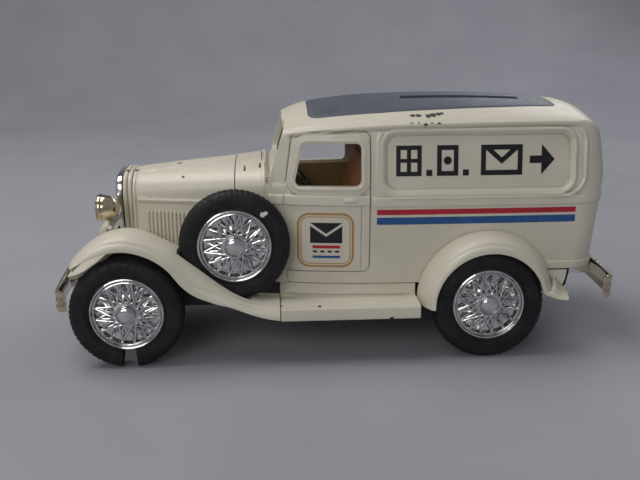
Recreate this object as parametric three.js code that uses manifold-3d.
// A die-cast panel delivery truck with a coin box in its body, at 1:25 scale.
// Units are millimetres. +X runs from the front bumper to the rear bumper, +Y to the vehicle's
// right and +Z up. Inside the group X = 0 is the front axle; the group itself is shifted so that
// the middle of the overall length stands on the origin.
import * as THREE from "three";
import { mergeVertices } from "three/addons/utils/BufferGeometryUtils.js";
import Module from "manifold-3d";

const wasm = await Module();
wasm.setup();

// ---------------------------------------------------------------- driving dimensions
const WHEELBASE = 107.7;
const FRONT_END = -22.8; // outer face of the front bumper
const REAR_END = 148.4; // outer face of the rear bumper
const COIN_SLOT = { x: [83.5, 121], y: [-9.9, -6.9] };
const CENTRE_X = (FRONT_END + REAR_END) / 2;
const GAP = 0.3; // clearance between pieces that touch on the real truck

const TYRE_R = 16.8;
const SPARE_TYRE_R = 16.45;
const TYRE_WIDTH = 6.6;
const RIM_R = 10.9;
const AXLE_R = 1.1;
const FRONT_TRACK_HALF = 32.3; // centre plane of a front wheel
const REAR_TRACK_HALF = 31.8;

const WALL = 1.6; // body casting
const SHEET = 1.2; // fenders and running boards
const LIP_Y = 36.8; // outer edge of fenders and running boards
const CROWN_Y = 29; // ridge line of the front fenders

const COWL_X = 32; // seam between hood and cowl
const CAB_X = 42; // front of the cab walls
const REAR_X = 144; // back face of the body
const REAR_ROUND = 9;
const SILL_Z = 22; // lower edge of the body
const TAIL_X = 127; // behind this the lower edge is raised
const TAIL_SILL_Z = 25.6;

const PLATE_Z = 12.2; // underside of the chassis plate
const PLATE_TOP = 13.8;
const TUB_Y = 20.4; // outer face of the chassis side walls
const TUB_X0 = 47;
const TUB_X1 = 127.6;
const NOSE_X = -18; // front end of the chassis
const NOSE_Y = 15; // half width of the chassis ahead of the tub
const TUB_WALL = 1.2;
const TUB_TOP = 21.6;

const DOOR_X0 = 75.6; // coin door
const DOOR_X1 = 100.4;
const DOOR_Y = 16;
const HINGE_X = 77;
const HINGE_Z = 13;
const PIN_R = 0.6;
const LOCK_X = 95;
const LOCK_R = 3.4;
const LOCK_TOP = 14.2; // inner end of the lock barrel

const SPARE = new THREE.Vector3(31.85, -27.55, 35.6);
const SPARE_WIDTH = 6.2;
const LAMP_Y = 17;
const SCREW_R = 1.2;
const POST_R = 2.7;
const POSTS = [
  [40, -9],
  [40, 9],
  [123, -16],
  [123, 16],
];

const SEGMENTS = 28; // around a tyre
const WHEEL_SEGMENTS = 20;

// ---------------------------------------------------------------- materials
const paint = (color, roughness = 0.4, metalness = 0) =>
  new THREE.MeshStandardMaterial({ color, roughness, metalness });
const CREAM = () => paint(0xcfc5b0);
const BLUE = () => paint(0x6f7686, 0.5);
const CHROME = () => paint(0xcfcfd2, 0.15, 1);
const STEEL = () => paint(0x9a9a9a, 0.35, 1);
const BRASS = () => paint(0xb08d45, 0.35, 1);
const BLACK = () => paint(0x1b1b1b, 0.6);
const TYRE = () => paint(0x1c1c1e, 0.8);
const BROWN = () => paint(0x4a3620, 0.6);
const TAN = () => paint(0x9c6238, 0.6);
const CLEAR = () => paint(0xdde4e8, 0.1);

// ---------------------------------------------------------------- solids
function solidOf(geometry) {
  const bare = new THREE.BufferGeometry();
  const loose = geometry.index ? geometry.toNonIndexed() : geometry;
  bare.setAttribute("position", loose.getAttribute("position"));
  const merged = mergeVertices(bare, 1e-4);
  const triVerts = new Uint32Array(merged.index.array);
  const vertProperties = merged.attributes.position.array;
  return new wasm.Manifold(new wasm.Mesh({ numProp: 3, vertProperties, triVerts }));
}

function geometryOf(solid) {
  const mesh = solid.getMesh();
  const geometry = new THREE.BufferGeometry();
  geometry.setAttribute("position", new THREE.BufferAttribute(mesh.vertProperties, 3));
  geometry.setIndex(new THREE.BufferAttribute(mesh.triVerts, 1));
  geometry.computeVertexNormals();
  return geometry;
}

const join = (...geometries) =>
  geometryOf(geometries.map(solidOf).reduce((whole, next) => whole.add(next)));
const cut = (base, ...tools) =>
  geometryOf(tools.map(solidOf).reduce((whole, next) => whole.subtract(next), solidOf(base)));
const common = (a, b) => geometryOf(solidOf(a).intersect(solidOf(b)));

// The geometry with its faces turned to point outwards.
function facingOut(geometry) {
  const solid = geometry.index ? geometry.toNonIndexed() : geometry;
  const p = solid.getAttribute("position");
  const [a, b, c] = [new THREE.Vector3(), new THREE.Vector3(), new THREE.Vector3()];
  let volume = 0;
  for (let i = 0; i < p.count; i += 3) {
    a.fromBufferAttribute(p, i);
    b.fromBufferAttribute(p, i + 1);
    c.fromBufferAttribute(p, i + 2);
    volume += a.dot(b.cross(c));
  }
  if (volume < 0) {
    const q = p.clone();
    for (let i = 0; i < p.count; i += 3) {
      p.setXYZ(i + 1, q.getX(i + 2), q.getY(i + 2), q.getZ(i + 2));
      p.setXYZ(i + 2, q.getX(i + 1), q.getY(i + 1), q.getZ(i + 1));
    }
  }
  return solid;
}

function fromTriangles(points, index) {
  const geometry = new THREE.BufferGeometry().setFromPoints(points);
  geometry.setIndex(index);
  return facingOut(geometry);
}

// A solid through closed loops of points, its two ends closed by fans.
function loft(loops) {
  const n = loops[0].length;
  const points = loops.flat();
  const index = [];
  for (let i = 0; i < loops.length - 1; i++) {
    for (let j = 0; j < n; j++) {
      const a = i * n + j;
      const b = i * n + ((j + 1) % n);
      index.push(a, b, a + n, b, b + n, a + n);
    }
  }
  const closeEnd = (first, forwards) => {
    const centre = new THREE.Vector3();
    for (let j = 0; j < n; j++) centre.addScaledVector(points[first + j], 1 / n);
    const hub = points.push(centre) - 1;
    for (let j = 0; j < n; j++) {
      const next = first + ((j + 1) % n);
      index.push(...(forwards ? [hub, first + j, next] : [hub, next, first + j]));
    }
  };
  closeEnd((loops.length - 1) * n, true);
  closeEnd(0, false);
  return fromTriangles(points, index);
}

// A sheet of even thickness below or inside a grid of surface points.
function sheet(grid, thickness) {
  const rows = grid.length;
  const columns = grid[0].length;
  const at = (i, j) =>
    grid[THREE.MathUtils.clamp(i, 0, rows - 1)][THREE.MathUtils.clamp(j, 0, columns - 1)];
  const inner = grid.map((row, i) =>
    row.map((point, j) => {
      const along = at(i + 1, j).clone().sub(at(i - 1, j));
      const across = at(i, j + 1).clone().sub(at(i, j - 1));
      return point.clone().addScaledVector(along.cross(across).normalize(), -thickness);
    }),
  );
  return skin(grid, inner);
}

// The closed solid between two grids of points of the same size.
function skin(outer, inner) {
  const rows = outer.length;
  const columns = outer[0].length;
  const points = [...outer.flat(), ...inner.flat()];
  const top = (i, j) => i * columns + j;
  const under = (i, j) => rows * columns + i * columns + j;
  const index = [];
  const quad = (a, b, c, d) => index.push(a, b, c, a, c, d);
  for (let i = 0; i < rows - 1; i++) {
    for (let j = 0; j < columns - 1; j++) {
      quad(top(i, j), top(i + 1, j), top(i + 1, j + 1), top(i, j + 1));
      quad(under(i, j), under(i, j + 1), under(i + 1, j + 1), under(i + 1, j));
    }
    quad(top(i, 0), under(i, 0), under(i + 1, 0), top(i + 1, 0));
    const j = columns - 1;
    quad(top(i, j), top(i + 1, j), under(i + 1, j), under(i, j));
  }
  for (let j = 0; j < columns - 1; j++) {
    quad(top(0, j), top(0, j + 1), under(0, j + 1), under(0, j));
    const i = rows - 1;
    quad(top(i, j), under(i, j), under(i, j + 1), top(i, j + 1));
  }
  return fromTriangles(points, index);
}

// A smooth function of x through a few [x, value] pairs.
function curve(pairs) {
  const xs = pairs.map(([x]) => x);
  const values = pairs.map(([, value]) => value);
  const through = new THREE.CubicInterpolant(xs, values, 1);
  return (x) => through.evaluate(THREE.MathUtils.clamp(x, xs[0], xs.at(-1)))[0];
}

const AXES = {
  x: [new THREE.Vector3(0, 1, 0), new THREE.Vector3(0, 0, 1), new THREE.Vector3(1, 0, 0)],
  y: [new THREE.Vector3(1, 0, 0), new THREE.Vector3(0, 0, 1), new THREE.Vector3(0, -1, 0)],
  z: [new THREE.Vector3(1, 0, 0), new THREE.Vector3(0, 1, 0), new THREE.Vector3(0, 0, 1)],
};

// An outline given in (y, z), (x, z) or (x, y), extruded along the remaining axis.
function extrude(shape, axis, from, to, curveSegments = 6) {
  const depth = Math.abs(to - from);
  const geometry = new THREE.ExtrudeGeometry(shape, { depth, bevelEnabled: false, curveSegments });
  const [u, v, w] = AXES[axis];
  const start = axis === "y" ? Math.max(from, to) : Math.min(from, to);
  geometry.applyMatrix4(new THREE.Matrix4().makeBasis(u, v, w));
  const shift = { x: [start, 0, 0], y: [0, start, 0], z: [0, 0, start] }[axis];
  return geometry.translate(...shift);
}

function outline(points) {
  return new THREE.Shape(points.map(([u, v]) => new THREE.Vector2(u, v)));
}

function roundedOutline(u0, u1, v0, v1, radius) {
  const shape = new THREE.Shape();
  shape.moveTo(u0 + radius, v0);
  shape.lineTo(u1 - radius, v0);
  shape.absarc(u1 - radius, v0 + radius, radius, -Math.PI / 2, 0);
  shape.lineTo(u1, v1 - radius);
  shape.absarc(u1 - radius, v1 - radius, radius, 0, Math.PI / 2);
  shape.lineTo(u0 + radius, v1);
  shape.absarc(u0 + radius, v1 - radius, radius, Math.PI / 2, Math.PI);
  shape.lineTo(u0, v0 + radius);
  shape.absarc(u0 + radius, v0 + radius, radius, Math.PI, 1.5 * Math.PI);
  return shape;
}

function block([x0, x1], [y0, y1], [z0, z1]) {
  const geometry = new THREE.BoxGeometry(x1 - x0, y1 - y0, z1 - z0);
  return geometry.translate((x0 + x1) / 2, (y0 + y1) / 2, (z0 + z1) / 2);
}

// A round bar between two points.
function rod(from, to, radius, sides = 16) {
  const [a, b] = [new THREE.Vector3(...from), new THREE.Vector3(...to)];
  const geometry = new THREE.CylinderGeometry(radius, radius, a.distanceTo(b), sides);
  const direction = b.clone().sub(a).normalize();
  const turn = new THREE.Quaternion().setFromUnitVectors(new THREE.Vector3(0, 1, 0), direction);
  geometry.applyQuaternion(turn);
  const middle = a.add(b).multiplyScalar(0.5);
  return geometry.translate(middle.x, middle.y, middle.z);
}

// A profile of [radius, y] pairs turned about the Y axis.
function turned(profile, segments) {
  const points = profile.map(([radius, y]) => new THREE.Vector2(radius, y));
  return facingOut(new THREE.LatheGeometry(points, segments));
}

const mirrored = (geometry) => facingOut(geometry.clone().scale(1, -1, 1));

const truck = new THREE.Group();
truck.position.x = -CENTRE_X;

function add(name, geometry, material, position = [0, 0, 0], rotation = [0, 0, 0]) {
  const mesh = new THREE.Mesh(geometry, material);
  mesh.name = name;
  mesh.position.set(...position);
  mesh.rotation.set(...rotation);
  truck.add(mesh);
}

// ---------------------------------------------------------------- body surfaces
// Half width of the body's side at height z, where the body is widest along its length.
const sideProfile = curve([
  [12, 25.6], [20, 26.4], [30, 27.3], [40, 27.8], [48, 27.9], [56, 27.2], [64, 26.3], [72, 25.4],
]);
// Share of that width along the length.
const plan = curve([
  [44, 22.6 / 28], [47, 23.6 / 28], [52, 25.2 / 28], [60, 26.6 / 28], [75, 27.7 / 28],
  [95, 1], [125, 27.9 / 28], [144, 27.5 / 28],
]);
const crownLine = curve([
  [44, 70.4], [47, 71.4], [50, 72.8], [54, 74.1], [62, 75.4], [72, 76.3], [85, 76.8], [98, 76.9],
  [111, 76.6], [125, 75.7], [134, 74.7], [144, 73.8],
]);
const gutterLine = curve([
  [44, 67.2], [51.7, 68.6], [63.4, 69.6], [81, 70.6], [96, 70.9], [117, 71.2], [129, 71.2],
  [135, 71.0], [144, 70.4],
]);
// How far the back of the body leans forward, by height: it bulges at the middle.
const rearLean = curve([
  [20, 0.9], [28, 0.5], [34, 0.1], [41, -0.5], [48, -1.1], [54, -1.7], [60, -1.2], [66, -0.3],
  [72, 0.8], [78, 1.8],
]);
const halfWidth = (x, z) => sideProfile(z) * plan(x);

const SIDE_LEVELS = [0, 0.25, 0.5, 0.76, 1];
const ROOF_STEPS = 6;

// One U-shaped section of the body, closed along the bottom, its sides drawn in by `inset` and its
// roof lowered by `drop`.
function bodySection(x, inset, bottom, drop = inset) {
  const gutter = gutterLine(x) - drop;
  const crown = crownLine(x) - drop;
  const side = SIDE_LEVELS.map((share) => {
    const z = bottom + (gutter - bottom) * share;
    return [halfWidth(x, z) - inset, z];
  });
  const edge = side.at(-1)[0];
  const roof = [];
  for (let k = 1; k < ROOF_STEPS; k++) {
    const y = edge * (1 - (2 * k) / ROOF_STEPS);
    roof.push([y, gutter + (crown - gutter) * (1 - (y / edge) ** 2)]);
  }
  const left = side.map(([y, z]) => [-y, z]).reverse();
  return [...side, ...roof, ...left];
}

const leanBack = THREE.MathUtils.smoothstep;
const ROOF_ROUND_SHARE = 0.6; // height of the roof's rear rounding over its length

// The body as a solid, all its walls `inset` inside the outer surface.
function bodySolid(inset, bottom) {
  const rear = REAR_X - inset;
  const round = REAR_ROUND - inset;
  const stations = [CAB_X, 48, 52, 58, 68, 85, 104, 122, rear - round];
  const sections = stations.map((x) => [x, inset, inset]);
  const steps = 4;
  for (let k = 1; k <= steps; k++) {
    const angle = ((Math.PI / 2) * k) / steps;
    const turned = round * (1 - Math.cos(angle));
    const x = rear - round + round * Math.sin(angle);
    sections.push([x, inset + turned, inset + ROOF_ROUND_SHARE * turned]);
  }
  return loft(
    sections.map(([x, drawn, drop]) =>
      bodySection(x, drawn, bottom, drop).map(([y, z]) => {
        const lean = rearLean(z) * leanBack(x, 122, REAR_X);
        return new THREE.Vector3(x - lean, y, z);
      }),
    ),
  );
}

// Hood and cowl share one arched section that widens towards the cab.
const hoodHalf = curve([[-4, 11.6], [0, 12.1], [16, 15.6], [32, 19], [40, 21.6], [48, 23.7]]);
const hoodTop = curve([[-4, 54], [0, 54.4], [14, 55.8], [32, 57.4], [40, 58.3], [48, 58.8]]);
const hoodSill = curve([[-4, 34.5], [2, 34], [10, 31.5], [20, 26.5], [28, 23], [34, 22], [48, 22]]);
const SHOULDER = 8; // height of the rounded part of the section
const ARCH_STEPS = 6;

function archSection(x, inset, bottom) {
  const half = hoodHalf(x) - inset;
  const top = hoodTop(x) - inset;
  const arc = [];
  for (let k = 0; k <= 2 * ARCH_STEPS; k++) {
    const angle = (Math.PI * k) / (2 * ARCH_STEPS);
    const y = Math.sign(Math.cos(angle)) * Math.abs(Math.cos(angle)) ** 0.8;
    arc.push([half * y, top - SHOULDER + SHOULDER * Math.sin(angle) ** 0.8]);
  }
  const loop = [[half, bottom], ...arc, [-half, bottom]];
  return loop.map(([y, z]) => new THREE.Vector3(x, y, z));
}

function archSolid(from, to, inset, bottom = hoodSill) {
  const stations = [];
  const steps = Math.max(2, Math.round((to - from) / 5));
  for (let k = 0; k <= steps; k++) stations.push(from + ((to - from) * k) / steps);
  return loft(stations.map((x) => archSection(x, inset, bottom(x))));
}

// ---------------------------------------------------------------- body shell
const WINDSCREEN_FOOT = [42.6, 54];
const WINDSCREEN_HEAD = [47.4, 70.2];

// Everything ahead of the raked front of the cab and its roof lip.
function frontWedge(back) {
  const [footX, footZ] = WINDSCREEN_FOOT;
  const [headX, headZ] = WINDSCREEN_HEAD;
  const lipX = 46.2 + back;
  return outline([
    [20, footZ], [footX + back, footZ], [headX + back, headZ], [lipX, headZ + 0.5],
    [lipX, 90], [20, 90],
  ]);
}

function sideOpening(shape, side) {
  return extrude(shape, "y", side * 18, side * 32);
}

function windowOutline() {
  return roundedOutline(50.3, 69.7, 52.1, 64.8, 2);
}

function bodyShell() {
  const across = [-40, 40];
  const outer = join(
    cut(
      bodySolid(0, SILL_Z),
      extrude(frontWedge(0), "y", ...across),
      block([TAIL_X, 160], across, [0, TAIL_SILL_Z]),
    ),
    archSolid(COWL_X + GAP, 47.4, 0),
  );
  const hollow = join(
    cut(bodySolid(WALL, 8), extrude(frontWedge(WALL), "y", ...across)),
    archSolid(COWL_X - 2, 49.3, WALL, () => 9),
  );
  const windscreen = extrude(roundedOutline(-18.6, 18.6, 57.6, 68.4, 2), "x", 40, 51);
  const slot = block(COIN_SLOT.x, COIN_SLOT.y, [70, 80]);
  const windows = [-1, 1].map((side) => sideOpening(windowOutline(), side));
  const shell = cut(outer, hollow, windscreen, slot, ...windows);
  const bands = [-1, 1].map((side) => beltBand(side));
  return join(shell, ...bands, ...POSTS.map(post));
}

// The raised band at the foot of the windows.
function beltBand(side) {
  const raised = 0.5;
  const bury = 1;
  const stations = [48.4, 59, 73.9, 74.1, 106, 132];
  return loft(
    stations.map((x) => {
      const height = x < 74 ? [46.5, 49.4] : [46.1, 48.8];
      const face = halfWidth(x, 48);
      const [back, front] = [face - bury, face + raised];
      const section = [[back, height[0]], [front, height[0]], [front, height[1]], [back, height[1]]];
      return section.map(([y, z]) => new THREE.Vector3(x, side * y, z));
    }),
  );
}

// A screw post that hangs from a web on the side wall down to the chassis plate.
function post([x, y]) {
  const side = Math.sign(y);
  const front = x < CAB_X;
  const wallY = front ? hoodHalf(x) - 0.8 : halfWidth(x, 30) - 0.8;
  const top = front ? 40 : 36;
  const bottom = PLATE_TOP + GAP;
  const web = block(
    [x - 1, x + 1],
    [Math.min(y, side * wallY), Math.max(y, side * wallY)],
    [front ? 26 : 25, top],
  );
  const column = rod([x, y, bottom], [x, y, top], POST_R, 12);
  const pilot = rod([x, y, bottom - 1], [x, y, bottom + 8], SCREW_R + GAP, 12);
  return cut(join(web, column), pilot);
}

// ---------------------------------------------------------------- hood, radiator and roof panel
function hood() {
  const from = GAP;
  const to = COWL_X - GAP;
  return cut(archSolid(from, to, 0), archSolid(from - 2, to + 2, 1.3, () => 8));
}

// Front outline of the radiator: arched top, sides drawn in towards the bottom.
function radiatorOutline(inset) {
  const shape = new THREE.Shape();
  const half = 11.6 - inset;
  const foot = 9.6 - inset;
  const top = 54.6 - inset;
  const bottom = 33.5 + inset;
  shape.moveTo(-foot, bottom);
  shape.lineTo(foot, bottom);
  shape.lineTo(half, 46);
  shape.bezierCurveTo(half, top - 1.5, half - 2, top, 0, top);
  shape.bezierCurveTo(-half + 2, top, -half, top - 1.5, -half, 46);
  return shape;
}

function radiatorShell() {
  const from = -3;
  const to = -GAP / 3;
  const mouth = extrude(radiatorOutline(2.2), "x", from - 1, from + 1.2, 5);
  return cut(extrude(radiatorOutline(0), "x", from, to, 5), mouth);
}

function radiatorGrille() {
  const frame = extrude(radiatorOutline(0.4), "x", -4.9, -3.4, 5);
  const opening = extrude(radiatorOutline(1.6), "x", -6, -4.3, 5);
  const bars = [];
  const spacing = 2;
  for (let y = -3 * spacing; y <= 3 * spacing; y += spacing) {
    bars.push(block([-4.9, -4.2], [y - 0.35, y + 0.35], [34.6, 52.6]));
  }
  return join(cut(frame, opening), ...bars);
}

// Half outline of the coloured roof panel: x and half width.
const ROOF_PANEL_EDGE = [
  [54.6, 16.2], [55.4, 17.8], [57.2, 18.8], [66, 19.4], [76, 19.7], [94, 19], [113, 17.8],
  [127, 16.2], [129.8, 15.4], [130.9, 13.8],
];

// The coloured panel laid into the roof, with the coin slot through it.
function roofInsert() {
  const lift = GAP + 0.12;
  const thickness = 0.5;
  const grid = [];
  for (let i = 0; i <= 7; i++) {
    const x = 54.5 + ((131 - 54.5) * i) / 7;
    const row = [];
    const gutter = gutterLine(x);
    const edge = halfWidth(x, gutter);
    for (let j = 0; j <= 4; j++) {
      const y = 20 * (1 - j / 2);
      const z = gutter + (crownLine(x) - gutter) * (1 - (y / edge) ** 2);
      row.push(new THREE.Vector3(x, y, z + lift + thickness));
    }
    grid.push(row);
  }
  const panel = skin(grid, grid.map((row) => row.map((p) => p.clone().setZ(p.z - thickness))));
  const left = ROOF_PANEL_EDGE.map(([x, y]) => [x, -y]);
  const corners = extrude(outline([...left, ...ROOF_PANEL_EDGE.toReversed()]), "z", 60, 90);
  return cut(common(panel, corners), block(COIN_SLOT.x, COIN_SLOT.y, [60, 90]));
}

// ---------------------------------------------------------------- fenders and running boards
// Stations of the front fender: outer edge x, z and crown x, z.
const FRONT_FENDER = [
  [-14.4, 31.6, -16.3, 31.2],
  [-12.4, 32.6, -14.5, 33.6],
  [-9.6, 34.0, -11.2, 36.6],
  [-5.8, 35.4, -7.4, 39.0],
  [-2.2, 36.1, -2.8, 40.5],
  [1.6, 36.0, 1.4, 40.7],
  [5.9, 34.8, 6, 39.4],
  [9.6, 32.9, 10.2, 37.3],
  [13, 30.0, 14.2, 35.1],
  [16.4, 25.6, 18.4, 32.0],
  [20.2, 22.5, 22.8, 28.6],
  [25.2, 20.4, 27.7, 24.6],
  [30.7, 18.7, 32.6, 21.2],
  [36.2, 16.5, 37.4, 19.2],
  [41, 15, 41.6, 18.9],
  [44.9, 14.3, 44.9, 19.0],
];

// The panel between the fenders, from the foot of the radiator down to the bumper.
function frontApron() {
  const stations = [
    [-3.6, 32.6, 11.2], [-6, 32, 11.2], [-9, 30.2, 11.2], [-12, 27.8, 11.4], [-15, 26, 14.5],
    [-17.6, 25.1, 17], [-20.4, 24.6, 17.5],
  ];
  const grid = stations.map(([x, z, half]) => {
    const row = [];
    for (let k = 0; k <= 4; k++) {
      const share = k / 2 - 1;
      row.push(new THREE.Vector3(x, half * share, z - 1.2 * share ** 2));
    }
    return row;
  });
  return sheet(grid, -SHEET);
}

// Points of a quarter-round from an outer edge up to a ridge.
function quarterRound(edge, ridge, steps, sharpness) {
  const points = [];
  for (let k = 0; k <= steps; k++) {
    const angle = ((Math.PI / 2) * k) / steps;
    const rise = Math.sin(angle) ** sharpness;
    const reach = 1 - Math.cos(angle) ** sharpness;
    points.push(
      new THREE.Vector3(
        THREE.MathUtils.lerp(edge.x, ridge.x, (rise + reach) / 2),
        THREE.MathUtils.lerp(edge.y, ridge.y, reach),
        THREE.MathUtils.lerp(edge.z, ridge.z, rise),
      ),
    );
  }
  return points;
}

function frontFenderGrid() {
  const sink = curve([[-17, 1.2], [-9, 4.2], [-2, 5.2], [14, 4], [24, 2.6], [34, 1], [45, 0.5]]);
  return FRONT_FENDER.map(([edgeX, edgeZ, crownX, crownZ]) => {
    const edge = new THREE.Vector3(edgeX, -LIP_Y, edgeZ);
    const crown = new THREE.Vector3(crownX, -CROWN_Y, crownZ);
    const row = quarterRound(edge, crown, 4, 0.85);
    const innerY = hoodHalf(crownX) + 0.4 + GAP;
    for (let k = 1; k <= 3; k++) {
      const share = k / 3;
      const y = -THREE.MathUtils.lerp(CROWN_Y, innerY, share);
      row.push(new THREE.Vector3(crownX, y, crownZ - sink(crownX) * share ** 2));
    }
    return row;
  });
}

function frontFender(withWell) {
  const grid = frontFenderGrid();
  const fender = sheet(grid, SHEET);
  if (!withWell) return fender;
  const floor = grid.map((row) => row.map((p) => p.clone().setZ(PLATE_Z)));
  const below = skin(grid, floor);
  const inner = SPARE_TYRE_R + 0.5;
  const [near, far] = [SPARE.y - SPARE_WIDTH / 2 - 0.5, SPARE.y + SPARE_WIDTH / 2 + 0.5];
  const drum = (radius, margin) =>
    rod([SPARE.x, near - margin, SPARE.z], [SPARE.x, far + margin, SPARE.z], radius, 36);
  return cut(join(fender, common(drum(inner + SHEET, 0.8), below)), drum(inner, 0));
}

const REAR_LIP_R = 16.6;
const rearFenderRise = curve([[-10, 5.2], [16, 5.1], [45, 5.3], [90, 5], [164, 4.1], [190, 4]]);

function rearFenderGrid() {
  const grid = [];
  const wheelZ = TYRE_R;
  for (let degrees = 182; degrees >= 14; degrees -= 14) {
    const angle = THREE.MathUtils.degToRad(degrees);
    const along = (radius) => [
      WHEELBASE + radius * Math.cos(angle),
      wheelZ + radius * Math.sin(angle),
    ];
    const [edgeX, edgeZ] = along(REAR_LIP_R);
    const [seamX, seamZ] = along(REAR_LIP_R + rearFenderRise(degrees));
    grid.push(rearFenderRow(edgeX, edgeZ, seamX, seamZ));
  }
  grid.push(rearFenderRow(125.6, 19.9, 129.6, 23));
  grid.push(rearFenderRow(128, 18.9, 131.4, 21));
  grid.push(rearFenderRow(131, 18.5, 133, 19.8));
  return grid;
}

function rearFenderRow(edgeX, edgeZ, seamX, seamZ) {
  const seamY = -(halfWidth(seamX, Math.max(seamZ, SILL_Z)) + 0.4);
  const edge = new THREE.Vector3(edgeX, -LIP_Y, edgeZ);
  return quarterRound(edge, new THREE.Vector3(seamX, seamY, seamZ), 5, 0.8);
}

// The fender with the small valance that closes its tail below the body.
function rearFender() {
  const valance = outline([
    [127.6, 25.2], [133.6, 25.2], [133.2, 22.4], [132.4, 20.2], [131.6, 18.9], [129.8, 20],
    [128.4, 22],
  ]);
  return join(sheet(rearFenderGrid(), SHEET), extrude(valance, "y", -27.5, -26.3));
}

// Board with a turned-down outer lip and a splash apron up to the body's edge.
function runningBoard() {
  const from = 44.9 + GAP;
  const to = 86.6;
  const top = 18;
  const loops = [];
  for (let k = 0; k <= 4; k++) {
    const x = from + ((to - from) * k) / 4;
    const inner = halfWidth(x, SILL_Z) - 0.2;
    const section = [
      [LIP_Y, 14], [LIP_Y, top - 0.6], [LIP_Y - 0.6, top], [inner, top + 0.4],
      [inner, SILL_Z - GAP], [inner - 1, SILL_Z - GAP], [inner - 1, top - 0.8],
      [LIP_Y - SHEET, top - SHEET], [LIP_Y - SHEET, 14],
    ];
    loops.push(section.map(([y, z]) => new THREE.Vector3(x, -y, z)));
  }
  return prism(loops);
}

// A loft whose section is not convex: its ends are triangulated as outlines.
function prism(loops) {
  const n = loops[0].length;
  const points = loops.flat();
  const index = [];
  for (let i = 0; i < loops.length - 1; i++) {
    for (let j = 0; j < n; j++) {
      const a = i * n + j;
      const b = i * n + ((j + 1) % n);
      index.push(a, b, a + n, b, b + n, a + n);
    }
  }
  const flat = loops[0].map((p) => new THREE.Vector2(p.y, p.z));
  const turn = THREE.ShapeUtils.isClockWise(flat);
  const last = (loops.length - 1) * n;
  for (const [a, b, c] of THREE.ShapeUtils.triangulateShape(flat, [])) {
    index.push(...(turn ? [a, b, c] : [a, c, b]));
    index.push(...(turn ? [last + a, last + c, last + b] : [last + a, last + b, last + c]));
  }
  return fromTriangles(points, index);
}

// ---------------------------------------------------------------- chassis
function screwHole([x, y]) {
  const head = rod([x, y, PLATE_Z - 1], [x, y, PLATE_Z + 1.1], 2.6, 12);
  return join(head, rod([x, y, PLATE_Z], [x, y, PLATE_TOP + 1], SCREW_R + GAP, 12));
}

// A tray: a narrow nose under the hood that widens into the tub below the cab and coin chamber.
function chassis() {
  const plan = outline([
    [NOSE_X, -NOSE_Y], [TUB_X0, -NOSE_Y], [TUB_X0, -TUB_Y], [TUB_X1, -TUB_Y],
    [TUB_X1, TUB_Y], [TUB_X0, TUB_Y], [TUB_X0, NOSE_Y], [NOSE_X, NOSE_Y],
  ]);
  const hollow = (x0, x1, half) =>
    block(
      [x0 + TUB_WALL, x1 - TUB_WALL],
      [TUB_WALL - half, half - TUB_WALL],
      [PLATE_TOP, TUB_TOP + 5],
    );
  const tray = cut(
    extrude(plan, "z", PLATE_Z, TUB_TOP),
    hollow(NOSE_X, TUB_X0 + TUB_WALL, NOSE_Y),
    hollow(TUB_X0, TUB_X1, TUB_Y),
  );
  const body = join(tray, hingeLug(-1), hingeLug(1), ...sump(), ledge());
  const bores = [0, WHEELBASE].map((x) => rod([x, -30, TYRE_R], [x, 30, TYRE_R], AXLE_R + GAP, 12));
  const opening = block([DOOR_X0 - GAP, DOOR_X1 + GAP], [-DOOR_Y - GAP, DOOR_Y + GAP], [10, 15.6]);
  const pinHole = rod([HINGE_X, -20, HINGE_Z], [HINGE_X, 20, HINGE_Z], PIN_R + GAP, 12);
  return cut(body, ...bores, opening, pinHole, ...POSTS.map(screwHole));
}

// The floor of the coin chamber reaches out from the tub to the body's walls.
function ledge() {
  const z = [TUB_TOP - SHEET, TUB_TOP - 0.1];
  const margin = 1.5;
  const loops = [TUB_X0 + 4, 60, 75, 95, TUB_X1].map((x) => {
    const y = halfWidth(x, SILL_Z) - margin;
    const section = [[y, z[0]], [y, z[1]], [-y, z[1]], [-y, z[0]]];
    return section.map(([v, w]) => new THREE.Vector3(x, v, w));
  });
  const inside = TUB_Y - TUB_WALL / 2;
  return cut(loft(loops), block([TUB_X0, TUB_X1 - TUB_WALL], [-inside, inside], [10, 30]));
}

// The thickened ends of the coin opening that hold the hinge pin.
function hingeLug(side) {
  const span = [side * (DOOR_Y - 0.2), side * (DOOR_Y + 2.6)].sort((a, b) => a - b);
  return block([HINGE_X - 1.8, HINGE_X + 1.8], span, [PLATE_TOP - 0.5, PLATE_TOP + 1]);
}

// Moulded shapes of the engine sump and gearbox on the underside.
function sump() {
  const pan = extrude(roundedOutline(8, 34, -7, 7, 2), "z", PLATE_Z - 2.2, PLATE_Z + 0.7, 3);
  const gearbox = extrude(roundedOutline(48, 62, -5, 5, 2), "z", PLATE_Z - 1.6, PLATE_Z + 0.7, 3);
  return [pan, gearbox];
}

const TANK_END = 139.6;

function fuelTank() {
  const shape = outline([
    [128.2, 15.5], [129.7, 14], [136.8, 14], [138.8, 16], [TANK_END, 20], [TANK_END, 24.6],
    [128.2, 24.6],
  ]);
  return extrude(shape, "y", -14, 14);
}

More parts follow.
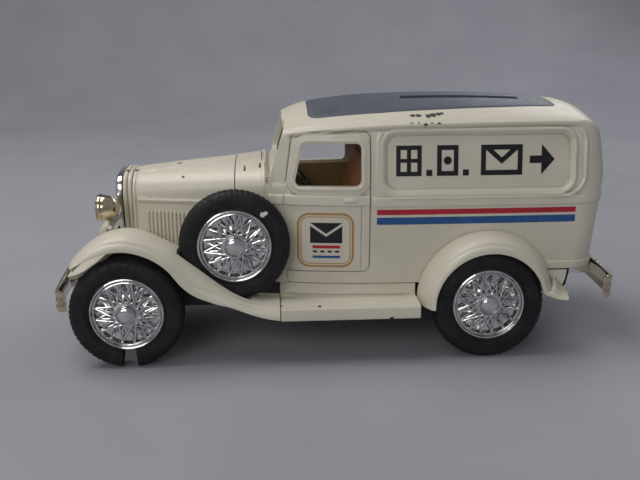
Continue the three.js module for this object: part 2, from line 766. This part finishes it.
function coinDoor() {
  const x = [DOOR_X0, DOOR_X1];
  const panel = block([HINGE_X, x[1]], [-DOOR_Y, DOOR_Y], [PLATE_Z, PLATE_TOP - 0.2]);
  const knuckle = rod([HINGE_X, -DOOR_Y, HINGE_Z], [HINGE_X, DOOR_Y, HINGE_Z], 1.3, 16);
  const rib = block([88, 89.2], [-DOOR_Y + 2, DOOR_Y - 2], [PLATE_TOP - 0.6, PLATE_TOP + 1]);
  const pinHole = rod([HINGE_X, -20, HINGE_Z], [HINGE_X, 20, HINGE_Z], PIN_R + GAP, 12);
  const lockHole = rod([LOCK_X, 0, 8], [LOCK_X, 0, 18], LOCK_R + GAP, 24);
  return cut(join(panel, knuckle, rib), pinHole, lockHole);
}

function lockBarrel() {
  const barrel = rod([LOCK_X, 0, PLATE_Z - 0.2], [LOCK_X, 0, LOCK_TOP], LOCK_R, 24);
  const flange = rod([LOCK_X, 0, PLATE_Z - 1.3], [LOCK_X, 0, PLATE_Z - GAP], LOCK_R + 1, 24);
  const neck = rod([LOCK_X, 0, PLATE_Z - 1], [LOCK_X, 0, PLATE_Z + 1], LOCK_R, 24);
  const keyway = block([LOCK_X - 1.8, LOCK_X + 1.8], [-0.4, 0.4], [9, 13]);
  return cut(join(barrel, flange, neck), keyway);
}

// The tongue on the inner end of the lock, lying across the door when unlocked.
function lockTongue() {
  const length = 8.6;
  const shape = roundedOutline(LOCK_X - 2.2, LOCK_X + 2.2, -3, length, 1.4);
  return extrude(shape, "z", LOCK_TOP + GAP, LOCK_TOP + GAP + 1.2, 3);
}

function screw() {
  const head = [[0, -0.2], [1.4, -0.2], [2.2, 0.1], [2.2, 0.7]];
  const shank = [[SCREW_R, 0.9], [SCREW_R, 8], [0.3, 9], [0, 9]];
  const slot = block([-1.6, 1.6], [-1, 0.25], [-0.3, 0.3]);
  return cut(turned([...head, ...shank], 12), slot);
}

// ---------------------------------------------------------------- cab interior
// A slab between two stations and two heights that follows the inside of the body's walls.
function cabSlab([x0, x1], [z0, z1], clearance) {
  const loops = [];
  for (let k = 0; k <= 4; k++) {
    const x = x0 + ((x1 - x0) * k) / 4;
    const levels = [z0, z0 + (z1 - z0) * 0.35, z0 + (z1 - z0) * 0.7, z1];
    const right = levels.map((z) => [halfWidth(x, z) - WALL - clearance, z]);
    const left = right.map(([y, z]) => [-y, z]).reverse();
    loops.push([...right, ...left].map(([y, z]) => new THREE.Vector3(x, y, z)));
  }
  return loft(loops);
}

function bulkhead() {
  const loops = [75, 76].map((x) =>
    bodySection(x, WALL + 0.7, SILL_Z).map(([y, z]) => new THREE.Vector3(x, y, z)),
  );
  const foot = block([75, 76], [-TUB_Y + TUB_WALL + 0.4, TUB_Y - TUB_WALL - 0.4], [16, SILL_Z + 1]);
  return join(loft(loops), foot);
}

function doorPanel(side) {
  const thickness = 0.9;
  const loops = [48, 54, 60, 66, 72].map((x) => {
    const levels = [26, 34, 42, 51.2];
    const outer = levels.map((z) => [halfWidth(x, z) - WALL - 0.4, z]);
    const inner = outer.map(([y, z]) => [y - thickness, z]).reverse();
    return [...outer, ...inner].map(([y, z]) => new THREE.Vector3(x, side * y, z));
  });
  return prism(loops);
}

function seatBack() {
  const shape = outline([
    [65.2, 38], [69.4, 58.4], [70.6, 60], [72.4, 60.2], [74, 58.6], [70.4, 37],
  ]);
  return extrude(shape, "y", -20.5, 20.5);
}

function seatCushion() {
  const shape = outline([
    [52.5, 31], [53, 35.6], [54.6, 37], [65.4, 36], [70, 36], [70, 26], [54, 26],
  ]);
  return extrude(shape, "y", -20.5, 20.5);
}

const STEER_CENTRE = [54.4, -11, 50.2];
const STEER_TILT = 0.64; // from upright
const STEER_R = 6.2;

function steeringWheel() {
  const rim = new THREE.TorusGeometry(STEER_R, 0.5, 6, 18);
  const spokes = [-1, 0, 1].map((k) => {
    const angle = -Math.PI / 2 + (k * 2 * Math.PI) / 3;
    const end = [STEER_R * Math.cos(angle), STEER_R * Math.sin(angle), 0];
    return rod([0, 0, 0], end, 0.45, 6);
  });
  return join(rim, ...spokes, rod([0, 0, -0.8], [0, 0, 0.9], 1.3, 12));
}

// ---------------------------------------------------------------- lamps and bumpers
function headlamp() {
  const bowl = turned(
    [
      [0, -3], [1.8, -2.7], [3.1, -1.6], [3.9, 0.2], [4.2, 2.4], [4.3, 3], [3.8, 3], [3.4, 1.6],
      [2.2, 0.4], [0, -0.4],
    ],
    16,
  ).rotateZ(Math.PI / 2);
  return join(bowl, rod([0, 0, -5], [0, 0, -3.2], 0.9, 10));
}

const headlampLens = () =>
  turned([[0, 3.3], [4, 3.3], [4.2, 3.5], [3.2, 3.75], [1.8, 3.95], [0, 4]], 16).rotateZ(Math.PI / 2);

// How far a bumper bar lies behind its middle: a gentle sweep, then a turned-in end.
function bumperSweep(y) {
  return 1.9 * (y / 31) ** 2 + 2.4 * (Math.max(0, Math.abs(y) - 31.5) / 2.5) ** 2;
}

// A ribbed bumper bar whose ends sweep back towards the truck.
function bumper(outerX, towardsTruck, bottom, top) {
  const thickness = 1.4;
  const stations = [0, 8, 16, 24, 31.5, 33, 34];
  const ribs = 3;
  const pitch = (top - bottom) / ribs;
  const loops = [];
  for (const y of [...stations.slice(1).reverse().map((at) => -at), ...stations]) {
    const x = outerX + towardsTruck * bumperSweep(y);
    const face = [];
    for (let rib = 0; rib < ribs; rib++) {
      const z = bottom + rib * pitch;
      face.push([0.5, z + 0.1], [0, z + pitch * 0.3], [0, z + pitch * 0.7], [0.5, z + pitch - 0.1]);
    }
    const section = [...face, [thickness, top - 0.1], [thickness, bottom + 0.1]];
    loops.push(section.map(([depth, z]) => new THREE.Vector3(x + towardsTruck * depth, y, z)));
  }
  return loft(loops);
}

function bumperBracket(x0, x1, z, y) {
  const middle = (x0 + x1) / 2;
  const rise = 1.6;
  const shape = outline([
    [x0, z - rise], [middle, z - rise - 0.6], [x1, z - rise], [x1, z + rise], [middle, z + rise + 0.6],
    [x0, z + rise],
  ]);
  return extrude(shape, "y", y - 1, y + 1);
}

// ---------------------------------------------------------------- wheels
// Profiles run about +Y, which points out of the truck.
function wheel() {
  return turned(
    [
      [0, 4.1], [2.4, 3.4], [3.3, 1.8], [9.4, 0.6], [10.1, 2.9], [RIM_R, 2.9], [RIM_R, -2.9],
      [9.8, -2.9], [9.2, -0.7], [3, -0.6], [3, -2.7], [AXLE_R + GAP, -2.7], [AXLE_R + GAP, 0.8],
      [0, 0.8],
    ],
    WHEEL_SEGMENTS,
  );
}

function tyre(radius, width) {
  const half = width / 2;
  const bead = RIM_R + GAP;
  return turned(
    [
      [bead, -half * 0.9], [radius - 2, -half], [radius - 0.3, -half * 0.65], [radius, 0],
      [radius - 0.3, half * 0.65], [radius - 2, half], [bead, half * 0.9], [bead, -half * 0.9],
    ],
    SEGMENTS,
  );
}

// A tyre whose ring has parted where it stands on the ground.
function splitTyre() {
  const wedge = outline([[-1.7, -9], [2.1, -9], [2.7, -18], [-2.4, -18]]);
  return cut(tyre(TYRE_R, TYRE_WIDTH), extrude(wedge, "y", -5, 5));
}

function addWheel(place, side, x, halfTrack) {
  const name = `${place}_${side < 0 ? "left" : "right"}`;
  const position = [x, side * halfTrack, TYRE_R];
  const rotation = [side < 0 ? Math.PI : 0, 0, 0];
  add(`wheel_${name}`, wheel(), CHROME(), position, rotation);
  const split = name === "front_left";
  const ring = split ? splitTyre() : tyre(TYRE_R, TYRE_WIDTH);
  add(`tyre_${name}`, ring, TYRE(), position);
}

function spareCarrier() {
  const innerY = SPARE.y + 2.4;
  const peg = rod([SPARE.x, innerY - 2.6, SPARE.z], [SPARE.x, innerY + 3.2, SPARE.z], AXLE_R, 12);
  const hub = rod([SPARE.x, innerY + 1.6, SPARE.z], [SPARE.x, innerY + 3.4, SPARE.z], 3.4, 16);
  return join(peg, hub);
}

// ---------------------------------------------------------------- assembly
add("body_shell", bodyShell(), CREAM());
add("hood", hood(), CREAM());
add("radiator_shell", radiatorShell(), CREAM());
add("radiator_grille", radiatorGrille(), CHROME());
add("roof_insert", roofInsert(), BLUE());

add("front_fender_left", frontFender(true), CREAM());
add("front_fender_right", mirrored(frontFender(false)), CREAM());
add("front_apron", frontApron(), CREAM());
add("running_board_left", runningBoard(), CREAM());
add("running_board_right", mirrored(runningBoard()), CREAM());
add("rear_fender_left", rearFender(), CREAM());
add("rear_fender_right", mirrored(rearFender()), CREAM());

add("chassis", chassis(), BLACK());
add("fuel_tank", fuelTank(), BLACK());
add("coin_door", coinDoor(), BLACK());
add("coin_door_pin", rod([0, -18, 0], [0, 18, 0], PIN_R, 10), STEEL(), [HINGE_X, 0, HINGE_Z]);
add("lock_barrel", lockBarrel(), BRASS());
add("lock_tongue", lockTongue(), STEEL());
POSTS.forEach(([x, y], k) => {
  add(`chassis_screw_${k + 1}`, screw(), STEEL(), [x, y, PLATE_Z], [Math.PI / 2, 0, 0]);
});

add("cab_floor", cabSlab([47, 74.4], [SILL_Z + 0.6, SILL_Z + 1.8], 0.4), BROWN());
add("seat_cushion", seatCushion(), TAN());
add("seat_back", seatBack(), TAN());
add("bulkhead", bulkhead(), BROWN());
add("dashboard", cabSlab([47.3, 49.3], [44, 53.6], 1.8), BROWN());
add("door_panel_left", doorPanel(-1), BROWN());
add("door_panel_right", doorPanel(1), BROWN());
const columnTop = [STEER_CENTRE[0] - 0.8, STEER_CENTRE[1], STEER_CENTRE[2] - 1.1];
add("steering_column", rod([49.8, -11, 44.4], columnTop, 0.8, 10), BLACK());
add("steering_wheel", steeringWheel(), BLACK(), STEER_CENTRE, [0, Math.PI / 2 - STEER_TILT, 0]);

add("headlamp_bar", rod([-6.2, -LAMP_Y - 1, 38.9], [-6.2, LAMP_Y + 1, 38.9], 0.7, 10), CHROME());
for (const side of [-1, 1]) {
  const name = side < 0 ? "left" : "right";
  const position = [-6.2, side * LAMP_Y, 44.9];
  add(`headlamp_${name}`, headlamp(), CHROME(), position);
  add(`headlamp_lens_${name}`, headlampLens(), CLEAR(), position);
}
add("front_bumper", bumper(FRONT_END, 1, 17.4, 24), CHROME());
add("rear_bumper", bumper(REAR_END, -1, 18, 25), CHROME());
for (const side of [-1, 1]) {
  const name = side < 0 ? "left" : "right";
  const front = bumperBracket(FRONT_END + 2.1, -18 - GAP, 20.2, side * 12);
  const rear = bumperBracket(TANK_END + GAP, REAR_END - 2.1, 21.5, side * 12);
  add(`front_bumper_bracket_${name}`, front, CHROME());
  add(`rear_bumper_bracket_${name}`, rear, CHROME());
}

add("front_axle", rod([0, -33, 0], [0, 33, 0], AXLE_R, 16), STEEL(), [0, 0, TYRE_R]);
add("rear_axle", rod([0, -32.4, 0], [0, 32.4, 0], AXLE_R, 16), STEEL(), [WHEELBASE, 0, TYRE_R]);
for (const side of [-1, 1]) {
  addWheel("front", side, 0, FRONT_TRACK_HALF);
  addWheel("rear", side, WHEELBASE, REAR_TRACK_HALF);
}
add("spare_wheel", wheel(), CHROME(), SPARE.toArray(), [Math.PI, 0, 0]);
add("spare_tyre", tyre(SPARE_TYRE_R, SPARE_WIDTH), TYRE(), SPARE.toArray());
add("spare_carrier", spareCarrier(), CREAM());

export default truck;
